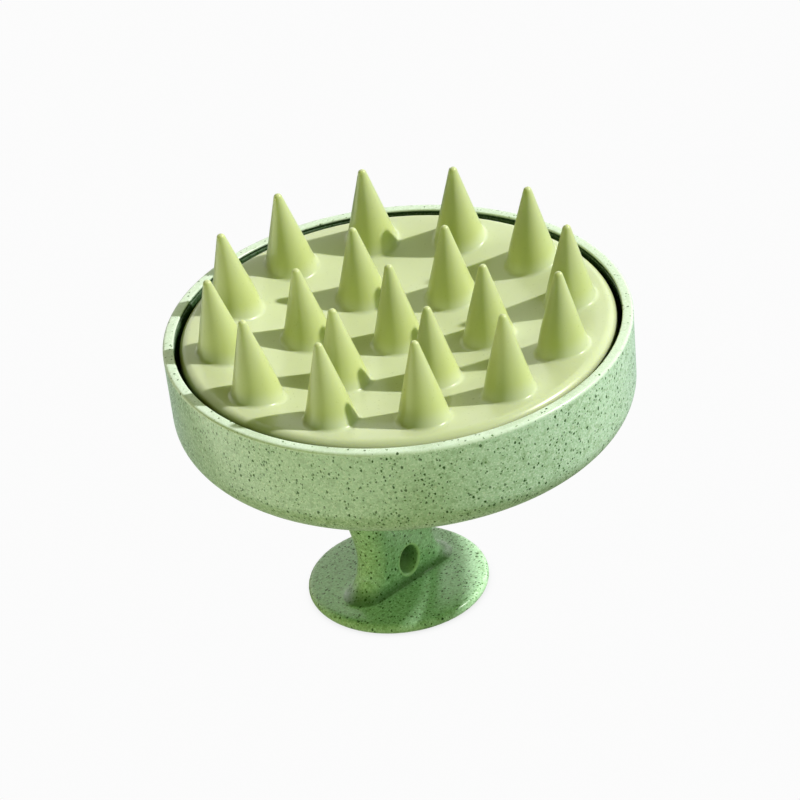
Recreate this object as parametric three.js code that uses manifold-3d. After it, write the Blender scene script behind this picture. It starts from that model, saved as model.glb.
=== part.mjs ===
// Scalp massager brush: a round cup on a waisted handle, holding a soft pad of massage pins.
// Units are millimetres and +Z is up. The brush stands on its finger disc with the pins up.
// The origin is on the cup's axis, in the plane that the finger disc rests on.
// +X runs along the width of the handle's blade-like neck. The handle stands a little off the cup's axis.

import * as THREE from 'three';
import { mergeVertices } from 'three/addons/utils/BufferGeometryUtils.js';
import Module from 'manifold-3d';

const wasm = await Module();
wasm.setup();

// ---- Driving dimensions ----

const cupDiameter = 85;
const cupDepth = 19.2;
const rimHeight = 56.3; // height of the rim above the resting face
const wall = 2;
const running = 0.1; // radial clearance of a peg in its socket
const seam = 0.05; // gap left between two faces that touch
const embed = 0.6; // how far one solid reaches into another before they are joined
const overcut = 1; // how far a cutter reaches past the face it opens
const draft = 0.3; // how much narrower the cup is at its foot
const cornerRadius = 6.2;
const rimRound = 0.6;

// Finger disc and neck.
const discRadius = 16.85;
const discThickness = 2.1;
const handleOffset = 4.8; // from the cup's axis to the handle's axis
const handleOffsetTurn = 138; // direction of that offset, in degrees from +X
const waistHeight = 6.5; // above the disc
const waistHalfWidth = 8.2;
const waistHalfThickness = 3.5;
const neckTopHalfWidth = 17.5;
const neckTopHalfThickness = 7.5;
const flareWidthPower = 1.4; // how late the blade widens on its way up to the cup
const flareThicknessPower = 1.6;
const footFlare = 4.5; // extra half width where the blade meets the disc
const footFlareFade = 2.2; // height over which that flare fades
const footFillet = 0.4; // extra half thickness there
const footFilletFade = 0.6;
const holeHalfWidth = 2.3;
const holeHalfHeight = 2.95;
const holeHeight = 4.7; // centre of the hanging hole above the disc

// Screws that hold the handle to the cup.
const screwRadius = 1.5;
const screwHeadRadius = 2.8;
const screwHeadHeight = 1.8;
const screwLength = 12; // below the underside of the cup
const screwTaper = 2;
const screwTipRadius = 0.6;
const screwSlotWidth = 0.7;
const screwSpread = 9; // from the handle's own axis
const screwClearance = 0.3; // radial, in the cup's floor
const floorPadHeight = 1.6; // raised pad inside the cup under the screw heads
const floorPadHalfLength = 13.2;
const floorPadHalfWidth = 5;
const tenonHeight = 1.2; // tongue on top of the neck
const tenonHalfLength = 12;
const tenonHalfWidth = 3.4;
const tenonClearance = 0.15;

// Soft pad and its pins.
const rimGap = 0.9; // between the pad and the cup's wall at the rim
const dishDepth = 4; // the pad's middle lies this far below the rim
const dishCurve = 0.0035; // rise of the dish per square of the radius
const crestRadius = 34;
const padSkin = 3;
const padEdgeRadius = 2;
const patternTurn = -51.7; // degrees from +X to the first pin of the inner ring
const pinBaseRadius = 4.85;
const pinTipRadius = 0.8;
const pinRoot = 1.5; // how far a pin reaches down into the pad's skin
const pinRings = [
  { count: 1, ringRadius: 0, height: 16.5, turn: 0 },
  { count: 6, ringRadius: 16.4, height: 15.1, turn: 0 },
  { count: 12, ringRadius: 31.6, height: 15.5, turn: -15 },
]; // turn is in degrees from the pattern's first pin
// The soft pins don't stand quite upright. All lean one way, and those far out lean further.
const pinLeanTurn = 138; // direction of the lean, in degrees from +X
const pinLean = 0.03; // sideways run of a pin's axis per unit of its height
const pinSplay = 0.08; // added outward run along that direction, for a pin at the cup's radius
const pinGather = 0.06; // inward run across that direction, for a pin at the cup's radius

// Rigid carrier under the pad.
const carrierThickness = 1.8;
const flangeInner = 33;
const flangeRadius = 37.3;
const softGap = 0.2; // between the soft pad and the carrier
const lipInner = 34.6;
const lipThickness = 2;
const pegCount = 4;
const pegCircle = 24;
const pegRadius = 2.4;
const pegTaper = 0.5;
const pegTipGap = 0.8; // between a peg's tip and the floor of its socket
const socketWall = 1.6;
const socketHeight = 7;
const pegSlot = 0.8;
const ribInner = 10;
const ribOuter = 30;
const ribThickness = 1.2;
const ribDepth = 2; // below the lowest point of the carrier

// ---- Worked-out dimensions ----

const cupRadius = cupDiameter / 2;
const cupBottom = rimHeight - cupDepth;
const floorTop = cupBottom + wall;
const rimInner = cupRadius - wall;
const padRadius = rimInner - rimGap;
const neckHeight = cupBottom - discThickness;
const dishHeight = (radius) => rimHeight - dishDepth + dishCurve * radius * radius;

// ---- Geometry helpers ----

// A closed three.js geometry as a solid for joining and cutting.
function solid(geometry) {
  const bare = geometry.clone();
  bare.deleteAttribute('normal');
  bare.deleteAttribute('uv');
  const merged = mergeVertices(bare, 1e-4);
  const corners = Array.from(merged.index.array);
  const kept = [];
  for (let i = 0; i < corners.length; i += 3) {
    const [a, b, c] = corners.slice(i, i + 3);
    if (a !== b && b !== c && c !== a) kept.push(a, b, c);
  }
  return new wasm.Manifold(new wasm.Mesh({
    numProp: 3,
    vertProperties: Float32Array.from(merged.attributes.position.array),
    triVerts: Uint32Array.from(kept),
  }));
}

// A named mesh made from a finished solid.
function part(name, shape, material) {
  const { vertProperties, triVerts } = shape.getMesh();
  const geometry = new THREE.BufferGeometry();
  geometry.setAttribute('position', new THREE.BufferAttribute(vertProperties, 3));
  geometry.setIndex(new THREE.BufferAttribute(triVerts, 1));
  geometry.computeVertexNormals();
  const mesh = new THREE.Mesh(geometry, material);
  mesh.name = name;
  return mesh;
}

// Revolves a profile of [radius, z] points about the Z axis.
// The points run anticlockwise seen with the radius to the right and z up.
function lathed(points, segments) {
  const profile = points.map(([radius, z]) => new THREE.Vector2(radius, z));
  return new THREE.LatheGeometry(profile, segments).rotateX(Math.PI / 2);
}

function turned(points, segments) {
  return solid(lathed(points, segments));
}

// A cylinder standing on z = low, centred on x, y.
function post(x, y, radius, low, high, segments = 16) {
  const profile = [[0, low], [radius, low], [radius, high], [0, high]];
  return turned(profile, segments).translate([x, y, 0]);
}

// A box given by its centre and size.
function block(x, y, z, sizeX, sizeY, sizeZ) {
  return solid(new THREE.BoxGeometry(sizeX, sizeY, sizeZ)).translate([x, y, z]);
}

// Points of an arc in the [radius, z] plane, angles in degrees from the +radius direction.
function arc(centreR, centreZ, radius, from, to, steps) {
  const points = [];
  for (let i = 0; i <= steps; i += 1) {
    const angle = THREE.MathUtils.degToRad(from + ((to - from) * i) / steps);
    points.push([centreR + radius * Math.cos(angle), centreZ + radius * Math.sin(angle)]);
  }
  return points;
}

// A ring of points with straight sides along x and round ends, like a running track.
function trackRing(halfLength, halfWidth, z, perEnd = 12) {
  const points = [];
  for (const side of [1, -1]) {
    for (let i = 0; i <= perEnd; i += 1) {
      const angle = Math.PI * (i / perEnd - 0.5);
      const x = side * (halfLength - halfWidth + halfWidth * Math.cos(angle));
      const y = side * halfWidth * Math.sin(angle);
      points.push(new THREE.Vector3(x, y, z));
    }
  }
  return points;
}

// A closed solid through rings of points that are stacked upwards.
function loft(rings) {
  const positions = [];
  const index = [];
  const perRing = rings[0].length;
  rings.forEach((ring) => ring.forEach((point) => positions.push(...point.toArray())));
  for (let r = 0; r < rings.length - 1; r += 1) {
    for (let i = 0; i < perRing; i += 1) {
      const a = r * perRing + i;
      const b = r * perRing + ((i + 1) % perRing);
      index.push(a, b, a + perRing, b, b + perRing, a + perRing);
    }
  }
  for (let i = 1; i < perRing - 1; i += 1) {
    const top = (rings.length - 1) * perRing;
    index.push(0, i + 1, i);
    index.push(top, top + i, top + i + 1);
  }
  const geometry = new THREE.BufferGeometry();
  geometry.setAttribute('position', new THREE.Float32BufferAttribute(positions, 3));
  geometry.setIndex(index);
  return solid(geometry);
}

// The x, y of a place on a circle, with the angle in degrees.
function polar(radius, degrees) {
  const angle = THREE.MathUtils.degToRad(degrees);
  return [radius * Math.cos(angle), radius * Math.sin(angle)];
}

const [handleX, handleY] = polar(handleOffset, handleOffsetTurn);
const screwPlaces = [-1, 1].map((side) => [handleX + side * screwSpread, handleY]);
const pegPlaces = Array.from({ length: pegCount }, (_, k) => polar(pegCircle, 45 + (k * 360) / pegCount));

// ---- Cup ----

function cupShell() {
  const innerCorner = cornerRadius - wall;
  const innerFoot = rimInner - draft;
  const outerFoot = cupRadius - draft;
  const profile = [
    [0, cupBottom],
    ...arc(outerFoot - cornerRadius, cupBottom + cornerRadius, cornerRadius, -90, 0, 5),
    ...arc(cupRadius - rimRound, rimHeight - rimRound, rimRound, 0, 90, 1),
    ...arc(rimInner + rimRound, rimHeight - rimRound, rimRound, 90, 180, 1),
    ...arc(innerFoot - innerCorner, floorTop + innerCorner, innerCorner, 0, -90, 3),
    [0, floorTop],
  ];
  let cup = turned(profile, 64);
  cup = cup.add(floorPad());
  const socketTop = floorTop + socketHeight;
  for (const [x, y] of pegPlaces) {
    cup = cup.add(post(x, y, pegRadius + running + socketWall, floorTop - embed, socketTop));
    cup = cup.subtract(post(x, y, pegRadius + running, floorTop, socketTop + overcut));
  }
  const holeRadius = screwRadius + screwClearance;
  const holeTop = floorTop + floorPadHeight + overcut;
  for (const [x, y] of screwPlaces) {
    cup = cup.subtract(post(x, y, holeRadius, cupBottom - overcut, holeTop));
  }
  return cup.subtract(tenon(tenonClearance, cupBottom - overcut, cupBottom + tenonHeight));
}

// Raised pad on the cup's floor that backs the recess for the handle and takes the screw heads.
function floorPad() {
  return loft([
    trackRing(floorPadHalfLength, floorPadHalfWidth, floorTop - embed),
    trackRing(floorPadHalfLength, floorPadHalfWidth, floorTop + floorPadHeight),
  ]).translate([handleX, handleY, 0]);
}

// Low tongue on top of the neck, and the recess for it in the cup when grown by some clearance.
function tenon(grow, low, high) {
  const halfLength = tenonHalfLength + grow;
  const halfWidth = tenonHalfWidth + grow;
  return loft([
    trackRing(halfLength, halfWidth, low),
    trackRing(halfLength, halfWidth, high),
  ]).translate([handleX, handleY, 0]);
}

// ---- Handle ----

// How far up the flare from the waist to the cup a height is, from 0 to 1.
function flareShare(height) {
  return Math.max(0, (height - waistHeight) / (neckHeight - waistHeight));
}

function neckHalfWidth(height) {
  const foot = footFlare * Math.exp(-height / footFlareFade);
  const top = (neckTopHalfWidth - waistHalfWidth) * flareShare(height) ** flareWidthPower;
  return waistHalfWidth + foot + top;
}

function neckHalfThickness(height) {
  const foot = footFillet * Math.exp(-height / footFilletFade);
  const top = (neckTopHalfThickness - waistHalfThickness) * flareShare(height) ** flareThicknessPower;
  return waistHalfThickness + foot + top;
}

function neck() {
  const heights = [-embed, 0, 0.5, 1.2, 2.2, 3.6, 5.2, 7, 9.5, 12.5, 16, 20, 25, 30, neckHeight - seam];
  const rings = heights.map((height) => {
    const above = Math.max(0, height);
    return trackRing(neckHalfWidth(above), neckHalfThickness(above), discThickness + height);
  });
  return loft(rings);
}

function fingerDisc() {
  const edge = discThickness / 2;
  return turned([
    [0, 0],
    ...arc(discRadius - edge, edge, edge, -90, 90, 6),
    [0, discThickness],
  ], 64);
}

// Upright oval hole through the neck, for hanging the brush on a hook.
function hangingHole() {
  const length = 4 * neckTopHalfThickness;
  const geometry = new THREE.CylinderGeometry(1, 1, length, 28);
  geometry.scale(holeHalfWidth, 1, holeHalfHeight);
  geometry.translate(0, 0, discThickness + holeHeight);
  return solid(geometry);
}

function handle() {
  const body = fingerDisc().add(neck()).subtract(hangingHole());
  let shape = body.translate([handleX, handleY, 0]);
  shape = shape.add(tenon(0, cupBottom - seam - embed, cupBottom + tenonHeight - tenonClearance));
  const holeTop = cupBottom + tenonHeight + overcut;
  for (const [x, y] of screwPlaces) {
    shape = shape.subtract(post(x, y, screwRadius + seam, cupBottom - screwLength, holeTop));
  }
  return shape;
}

// Pan-head screw with a cross recess, driven down through the cup's floor.
function handleScrew(x, y) {
  const seat = floorTop + floorPadHeight + seam;
  const top = seat + screwHeadHeight;
  const tip = cupBottom - screwLength + overcut;
  let screw = turned([
    [0, tip],
    [screwTipRadius, tip],
    [screwRadius, tip + screwTaper],
    [screwRadius, seat],
    [screwHeadRadius, seat],
    [screwHeadRadius, seat + 0.5 * screwHeadHeight],
    [screwHeadRadius * 0.7, seat + 0.9 * screwHeadHeight],
    [0, top],
  ], 20);
  const slotLength = 1.3 * screwHeadRadius;
  screw = screw.subtract(block(0, 0, top, slotLength, screwSlotWidth, screwHeadHeight));
  screw = screw.subtract(block(0, 0, top, screwSlotWidth, slotLength, screwHeadHeight));
  return screw.translate([x, y, 0]);
}

// ---- Massage head ----

// Rigid dished plate that the soft pad grips, with pegs that press into the cup's sockets.
function padCarrier() {
  const radii = [0, 8, 16, 24, flangeInner];
  const lower = radii.map((radius) => [radius, carrierTop(radius) - carrierThickness]);
  const upper = [...radii].reverse().map((radius) => [radius, carrierTop(radius)]);
  let carrier = turned([
    ...lower,
    [flangeRadius, carrierTop(flangeInner) - carrierThickness],
    [flangeRadius, carrierTop(flangeInner)],
    ...upper,
  ], 48);
  carrier = carrier.add(ribs());
  for (const [x, y] of pegPlaces) carrier = carrier.add(peg(x, y));
  return carrier;
}

// Height of the carrier's upper face, which follows the dish under the pad's skin.
function carrierTop(radius) {
  return dishHeight(radius) - padSkin - softGap;
}

// Radial stiffening ribs under the carrier, cut off inside the plate's thickness.
function ribs() {
  const middle = (radius) => carrierTop(radius) - carrierThickness / 2;
  const high = middle(ribOuter);
  const low = carrierTop(0) - carrierThickness - ribDepth;
  const length = ribOuter - ribInner;
  const bar = block((ribInner + ribOuter) / 2, 0, (low + high) / 2, length, ribThickness, high - low);
  const reach = ribOuter + ribThickness;
  const above = turned([
    ...[0, ribInner, (ribInner + ribOuter) / 2, ribOuter, reach].map((radius) => [radius, middle(radius)]),
    [reach, rimHeight],
    [0, rimHeight],
  ], 48);
  const bars = Array.from({ length: pegCount }, (_, k) => bar.rotate([0, 0, (k * 360) / pegCount]));
  return wasm.Manifold.union(bars).subtract(above);
}

// Split peg below a shoulder that stops just above its socket.
function peg(x, y) {
  const plateMiddle = carrierTop(pegCircle) - carrierThickness / 2;
  const shoulder = floorTop + socketHeight + softGap;
  const tip = floorTop + pegTipGap;
  const pin = turned([
    [0, tip],
    [pegRadius - pegTaper, tip],
    [pegRadius, tip + pegTaper],
    [pegRadius, shoulder],
    [pegRadius + socketWall, shoulder],
    [pegRadius + socketWall, plateMiddle],
    [0, plateMiddle],
  ], 16);
  const slotHeight = shoulder - tip;
  return pin.subtract(block(0, 0, tip + 0.35 * slotHeight, pegSlot, 4 * pegRadius, slotHeight))
    .translate([x, y, 0]);
}

// One moulding: a dished skin, a skirt that wraps the carrier's flange, and the pins.
function siliconePad() {
  const flangeTop = dishHeight(flangeInner) - padSkin;
  const grooveRadius = flangeRadius + softGap;
  const lipTop = flangeTop - carrierThickness - 2 * softGap;
  const crestHeight = dishHeight(crestRadius);
  const skirtLow = lipTop - lipThickness;
  const radii = [0, 8, 16, 24];
  const under = radii.map((radius) => [radius, dishHeight(radius) - padSkin]);
  const over = [29, ...[...radii].reverse()].map((radius) => [radius, dishHeight(radius)]);
  let pad = turned([
    ...under,
    [flangeInner, flangeTop],
    [grooveRadius, flangeTop],
    [grooveRadius, lipTop],
    [lipInner, lipTop],
    [lipInner, skirtLow],
    [padRadius, skirtLow],
    ...arc(padRadius - padEdgeRadius, crestHeight - padEdgeRadius, padEdgeRadius, 0, 90, 4),
    [crestRadius, crestHeight],
    ...over,
  ], 64);
  for (const ring of pinRings) pad = pad.add(pinRing(ring));
  return pad;
}

// How far the axis of a pin at x, y runs sideways per unit of its height.
function leanAt(x, y) {
  const [alongX, alongY] = polar(1, pinLeanTurn);
  const along = (x * alongX + y * alongY) / cupRadius;
  const across = (y * alongX - x * alongY) / cupRadius;
  const run = pinLean + pinSplay * along;
  const gather = pinGather * across;
  return [run * alongX + gather * alongY, run * alongY - gather * alongX];
}

// One cone with a round tip, its foot at the height of the dish.
function pin(x, y, height) {
  const slant = THREE.MathUtils.radToDeg(Math.atan((pinBaseRadius - pinTipRadius) / height));
  const geometry = lathed([
    [0, -pinRoot],
    [pinBaseRadius, -pinRoot],
    [pinBaseRadius, 0],
    ...arc(0, height - pinTipRadius, pinTipRadius, slant, 90, 2),
  ], 14);
  const [leanX, leanY] = leanAt(x, y);
  geometry.applyMatrix4(new THREE.Matrix4().makeShear(0, 0, 0, 0, leanX, leanY));
  geometry.translate(x, y, dishHeight(Math.hypot(x, y)));
  return solid(geometry);
}

function pinRing({ count, ringRadius, height, turn }) {
  const pins = Array.from({ length: count }, (_, k) => {
    const [x, y] = polar(ringRadius, patternTurn + turn + (k * 360) / count);
    return pin(x, y, height);
  });
  return wasm.Manifold.union(pins);
}

// ---- Assembly ----

function plastic(colour) {
  return new THREE.MeshStandardMaterial({ color: colour, roughness: 0.42, metalness: 0 });
}

const silicone = new THREE.MeshStandardMaterial({ color: 0xd6dfa4, roughness: 0.6, metalness: 0 });
const steel = new THREE.MeshStandardMaterial({ color: 0xb9bcc0, roughness: 0.35, metalness: 1 });

const brush = new THREE.Group();
brush.add(part('cup_shell', cupShell(), plastic(0xa9cc9c)));
brush.add(part('handle', handle(), plastic(0x9cc48f)));
screwPlaces.forEach(([x, y], k) => {
  brush.add(part(`handle_screw_${k + 1}`, handleScrew(x, y), steel.clone()));
});
const head = new THREE.Group();
head.add(part('pad_carrier', padCarrier(), plastic(0xdfe3d2)));
head.add(part('silicone_pad', siliconePad(), silicone));
brush.add(head);

export default brush;
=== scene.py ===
"""Looks of the scalp massager brush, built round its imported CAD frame. Every length is in metres."""
import math

import bmesh
import bpy
from mathutils import Matrix, Vector
from mathutils.geometry import delaunay_2d_cdt


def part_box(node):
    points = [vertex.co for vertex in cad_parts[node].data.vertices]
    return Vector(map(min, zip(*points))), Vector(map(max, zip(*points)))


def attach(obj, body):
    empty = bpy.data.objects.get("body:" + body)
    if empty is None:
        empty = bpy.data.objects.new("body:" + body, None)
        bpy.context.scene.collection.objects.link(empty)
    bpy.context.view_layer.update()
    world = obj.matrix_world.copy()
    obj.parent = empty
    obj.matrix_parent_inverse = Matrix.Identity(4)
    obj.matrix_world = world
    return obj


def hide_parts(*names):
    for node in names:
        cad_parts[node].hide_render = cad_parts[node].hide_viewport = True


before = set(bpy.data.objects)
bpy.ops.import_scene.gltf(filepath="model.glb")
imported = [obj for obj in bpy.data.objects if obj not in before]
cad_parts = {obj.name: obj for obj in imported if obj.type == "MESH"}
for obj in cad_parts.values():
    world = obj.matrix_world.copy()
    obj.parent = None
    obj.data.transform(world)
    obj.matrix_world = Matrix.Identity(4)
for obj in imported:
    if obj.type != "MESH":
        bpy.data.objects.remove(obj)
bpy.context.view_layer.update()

MM = 0.001

# ---- Sizes: the outer ones are read from the frame, and the rest are the CAD part's own ----

cup_low, cup_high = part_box("cup_shell")
handle_low, handle_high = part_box("handle")
pad_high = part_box("silicone_pad")[1]
carrier_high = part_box("pad_carrier")[1]

CUP_RADIUS = cup_high.x
CUP_BOTTOM = cup_low.z
RIM = cup_high.z
WALL = 2.0 * MM
DRAFT = 0.3 * MM
CORNER = 6.2 * MM
RIM_ROUND = 0.55 * MM
INNER_ROUND = 0.3 * MM
GROOVE_TOP = 0.4 * MM    # a fine groove runs round the inner wall this far below the rim
GROOVE_LOW = 1.0 * MM
GROOVE_DEPTH = 0.35 * MM
GROOVE_SLOPE = 0.1 * MM
RIM_INNER = CUP_RADIUS - WALL
FLOOR = CUP_BOTTOM + WALL

HANDLE_X = (handle_low.x + handle_high.x) / 2
HANDLE_Y = (handle_low.y + handle_high.y) / 2
DISC_RADIUS = (handle_high.y - handle_low.y) / 2
DISC_THICKNESS = 2.1 * MM
SEAM = 0.05 * MM         # gap between faces that touch
NECK_HEIGHT = CUP_BOTTOM - DISC_THICKNESS - SEAM
NECK_TOP_HALF_WIDTH = (handle_high.x - handle_low.x) / 2
NECK_TOP_HALF_THICKNESS = 7.5 * MM
WAIST_HEIGHT = 6.5 * MM
WAIST_HALF_WIDTH = 8.2 * MM
WAIST_HALF_THICKNESS = 3.5 * MM
WIDTH_POWER = 1.4        # how late the neck widens on its way up, and how late it thickens
THICKNESS_POWER = 1.6
FOOT_FLARE = 4.5 * MM    # extra half width where the neck meets the disc, and the height that it fades over
FOOT_FLARE_FADE = 2.2 * MM
FOOT_FILLET = 0.4 * MM   # extra half thickness there
FOOT_FILLET_FADE = 0.6 * MM
FOOT_SKIRT = 0.35 * MM   # a last small round into the disc
HOLE_HALF_WIDTH = 2.3 * MM
HOLE_HALF_HEIGHT = 2.95 * MM
HOLE_HEIGHT = 4.7 * MM
HOLE_ROUND = 0.4 * MM

EMBED = 0.6 * MM         # how far one solid reaches into another before they are joined
OVERCUT = 1 * MM         # how far a cutter reaches past the face that it opens
TONGUE_HALF_LENGTH = 12 * MM
TONGUE_HALF_WIDTH = 3.4 * MM
TONGUE_HEIGHT = 1.2 * MM
TONGUE_CLEARANCE = 0.15 * MM
SCREW_RADIUS = 1.5 * MM
SCREW_LENGTH = 12 * MM   # below the underside of the cup
SCREW_SPREAD = 9 * MM
SCREW_HOLE = 1.8 * MM    # its radius in the cup's floor
FLOOR_PAD_HEIGHT = 1.6 * MM
FLOOR_PAD_BEYOND = 4.2 * MM
FLOOR_PAD_HALF_WIDTH = 5 * MM
SMALL_ROUND = 0.3 * MM   # on the edges of the bosses, the floor pad and the pad's lip
PEG_COUNT = 4
PEG_CIRCLE = 24 * MM
PEG_RADIUS = 2.4 * MM
SOCKET_WALL = 1.6 * MM
SOCKET_HEIGHT = 7 * MM
SOCKET_LEAD = 0.5 * MM   # chamfer at the mouth of each socket
RUNNING = 0.1 * MM       # radial clearance of a peg in its socket

PAD_RADIUS = pad_high.x
PAD_EDGE = 2.0 * MM
PAD_SKIN = 3.0 * MM
DISH_DEPTH = 4.0 * MM
DISH_CURVE = 0.0035 / MM
DISH_OUTER = 31 * MM     # the dish's parabola ends here and levels out towards the crest
CREST = PAD_RADIUS - PAD_EDGE
SKIRT_ROUND = 0.5 * MM
SOFT_GAP = 0.2 * MM
FLANGE_INNER = 33 * MM
FLANGE_RADIUS = carrier_high.x
FLANGE_THICKNESS = 1.8 * MM
LIP_INNER = 34.6 * MM
LIP_THICKNESS = 2 * MM

PATTERN_TURN = -51.7     # degrees from +X to the inner ring's first pin
PIN_BASE = 4.85 * MM
PIN_TIP = 0.8 * MM
PIN_FILLET = 0.8 * MM
PIN_BLEND = 4 * MM       # a pin's rings follow the dish at its foot and are level from this height
PIN_RINGS = [            # how many, ring radius, height, turn from the pattern in degrees
    (1, 0.0, 16.5 * MM, 0),
    (6, 16.4 * MM, 15.1 * MM, 0),
    (12, 31.6 * MM, 15.5 * MM, -15),
]
PIN_LEAN_TURN = 138      # degrees from +X to the side that the soft pins lean to
PIN_LEAN = 0.03          # sideways run of every pin per unit of its height
PIN_SPLAY = 0.08         # further outward run along that side, for a pin at the cup's radius
PIN_GATHER = 0.06        # inward run across that side, for a pin at the cup's radius
CREST_POINTS = 288
PIN_POINTS = 56
NET_SPACING = 1.15 * MM

# ---- The photograph's view ----

VIEW_TURN = -42.0
VIEW_ELEVATION = 31.4
VIEW_ROLL = 6.2
VIEW_DISTANCE = 0.835
VIEW_LENS = 209          # on a 36 mm sensor
AIM_BELOW_RIM = 16.2 * MM
AIM_LEFT = 1.0 * MM

# ---- Light, each as red, green and blue; directions are (right, away, up) in the picture ----

KEY_ELEVATION = 42.0
KEY_LIGHT = (3.3, 3.3, 3.15)
KEY_ANGLE = 2                         # degrees across, so its shadows are fairly hard
FILL_LIGHT = (0.75, 0.75, 0.4)
FILL_ANGLE = 20
FILL_TOWARDS = (-1, -0.7, -0.3)
PANELS = [                            # broad soft panels: where each is, then its light
    ((0, 0, 1), (0.17, 0.16, 0.02)),
    ((1, 0, 0), (0.31, 0.46, 0.38)),
    ((0, -1, 0), (0.10, 0.18, 0.0)),
]
MIRRORED_BACK = (1.9, 2.0, 1.8)       # what glossy surfaces see of the studio behind the brush
MIRRORED_FRONT = (0.2, 0.25, 0.15)    # and in front of it
GLOW_NEAR = (0.35, 0.42, 0.28)        # what they see of the floor near the brush,
GLOW_LEFT = (3.0, 3.3, 2.9)           # further out to the front left,
GLOW_RIGHT = (0.45, 0.55, 0.55)       # and further out elsewhere
GLOW_NEAR_RANGE = (45 * MM, 90 * MM)  # distances over which near fades to far
GLOW_LEFT_RANGE = (60 * MM, 100 * MM)
GLOW_LEFT_TOWARDS = (-0.75, -0.66, 0)
STUDIO_WHITE = (0.97, 0.97, 0.97)
CONTACT_SHADE = (0.80, 0.81, 0.80)    # the floor right under the disc's edge
CONTACT_REACH = 12 * MM
FLOOR_TONE = (0.24, 0.26, 0.17)       # what the floor throws back at matt surfaces
FLOOR_HALF = 3.0
FLOOR_GAP = 0.02 * MM                 # the floor lies this far below the disc
FLAG_HEIGHT = 52 * MM
FLAG_SHADE_END = 8.5 * MM             # the disc is lit further right than this
FLAG_SWEEP = 120                      # degrees


def camera_right():
    """The direction along the floor that points to the right in the picture."""
    turn = math.radians(VIEW_TURN)
    return Vector((math.cos(turn), math.sin(turn), 0))


# ---- Mesh helpers ----

MERGE_DISTANCE = 0.001 * MM


class Shell:
    """Rings of points joined by quads into one closed surface."""

    def __init__(self):
        self.points = []
        self.faces = []

    def point(self, place):
        self.points.append(Vector(place))
        return len(self.points) - 1

    def ring(self, places):
        return [self.point(place) for place in places]

    def bridge(self, lower, upper):
        """Quads between two rings of one length that run the same way round."""
        count = len(lower)
        for i in range(count):
            j = (i + 1) % count
            self.faces.append((lower[i], lower[j], upper[j], upper[i]))

    def cap(self, ring, centre, upwards):
        middle = self.point(centre)
        count = len(ring)
        for i in range(count):
            j = (i + 1) % count
            self.faces.append((ring[i], ring[j], middle) if upwards else (ring[j], ring[i], middle))

    def make(self, name, sharp_degrees=35):
        mesh = bpy.data.meshes.new(name)
        mesh.from_pydata([tuple(p) for p in self.points], [], self.faces)
        mesh.validate()
        return finish_mesh(name, mesh, sharp_degrees)


def finish_mesh(name, mesh, sharp_degrees):
    mesh.shade_smooth()
    mesh.set_sharp_from_angle(angle=math.radians(sharp_degrees))
    piece = bpy.data.objects.new(name, mesh)
    bpy.context.scene.collection.objects.link(piece)
    return piece


def circle(radius, z, count, x=0.0, y=0.0):
    """Points of a level circle, anticlockwise seen from above."""
    turns = [2 * math.pi * k / count for k in range(count)]
    return [(x + radius * math.cos(t), y + radius * math.sin(t), z) for t in turns]


def arc(centre_r, centre_z, radius, start, end, steps):
    """Profile points of an arc, angles in degrees from the outward direction."""
    angles = [math.radians(start + (end - start) * i / steps) for i in range(steps + 1)]
    return [(centre_r + radius * math.cos(a), centre_z + radius * math.sin(a)) for a in angles]


def turned(name, profile, count, x=0.0, y=0.0):
    """A solid of revolution. The profile runs from the axis below, outwards, up and back to the axis."""
    shell = Shell()
    rings = [shell.ring(circle(r, z, count, x, y)) for r, z in profile[1:-1]]
    shell.cap(rings[0], (x, y, profile[0][1]), upwards=False)
    for lower, upper in zip(rings, rings[1:]):
        shell.bridge(lower, upper)
    shell.cap(rings[-1], (x, y, profile[-1][1]), upwards=True)
    return shell.make(name)


def post(name, radius, low, high, count, x, y):
    """A plain round cutter."""
    return turned(name, [(0, low), (radius, low), (radius, high), (0, high)], count, x, y)


def combine(target, tool, operation, sharp_degrees=35):
    """Joins or cuts target with tool, and removes tool."""
    step = target.modifiers.new("combine", "BOOLEAN")
    step.operation = operation
    step.solver = "EXACT"
    step.object = tool
    bpy.context.view_layer.update()
    evaluated = target.evaluated_get(bpy.context.evaluated_depsgraph_get())
    result = bpy.data.meshes.new_from_object(evaluated)
    target.modifiers.remove(step)
    target.data = result
    cleaned = bmesh.new()
    cleaned.from_mesh(result)
    bmesh.ops.remove_doubles(cleaned, verts=cleaned.verts, dist=MERGE_DISTANCE)
    cleaned.to_mesh(result)
    cleaned.free()
    result.shade_smooth()
    result.set_sharp_from_angle(angle=math.radians(sharp_degrees))
    bpy.data.objects.remove(tool)


def blend_step(share):
    share = min(1.0, max(0.0, share))
    return share * share * (3 - 2 * share)


# ---- Cup ----

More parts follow.
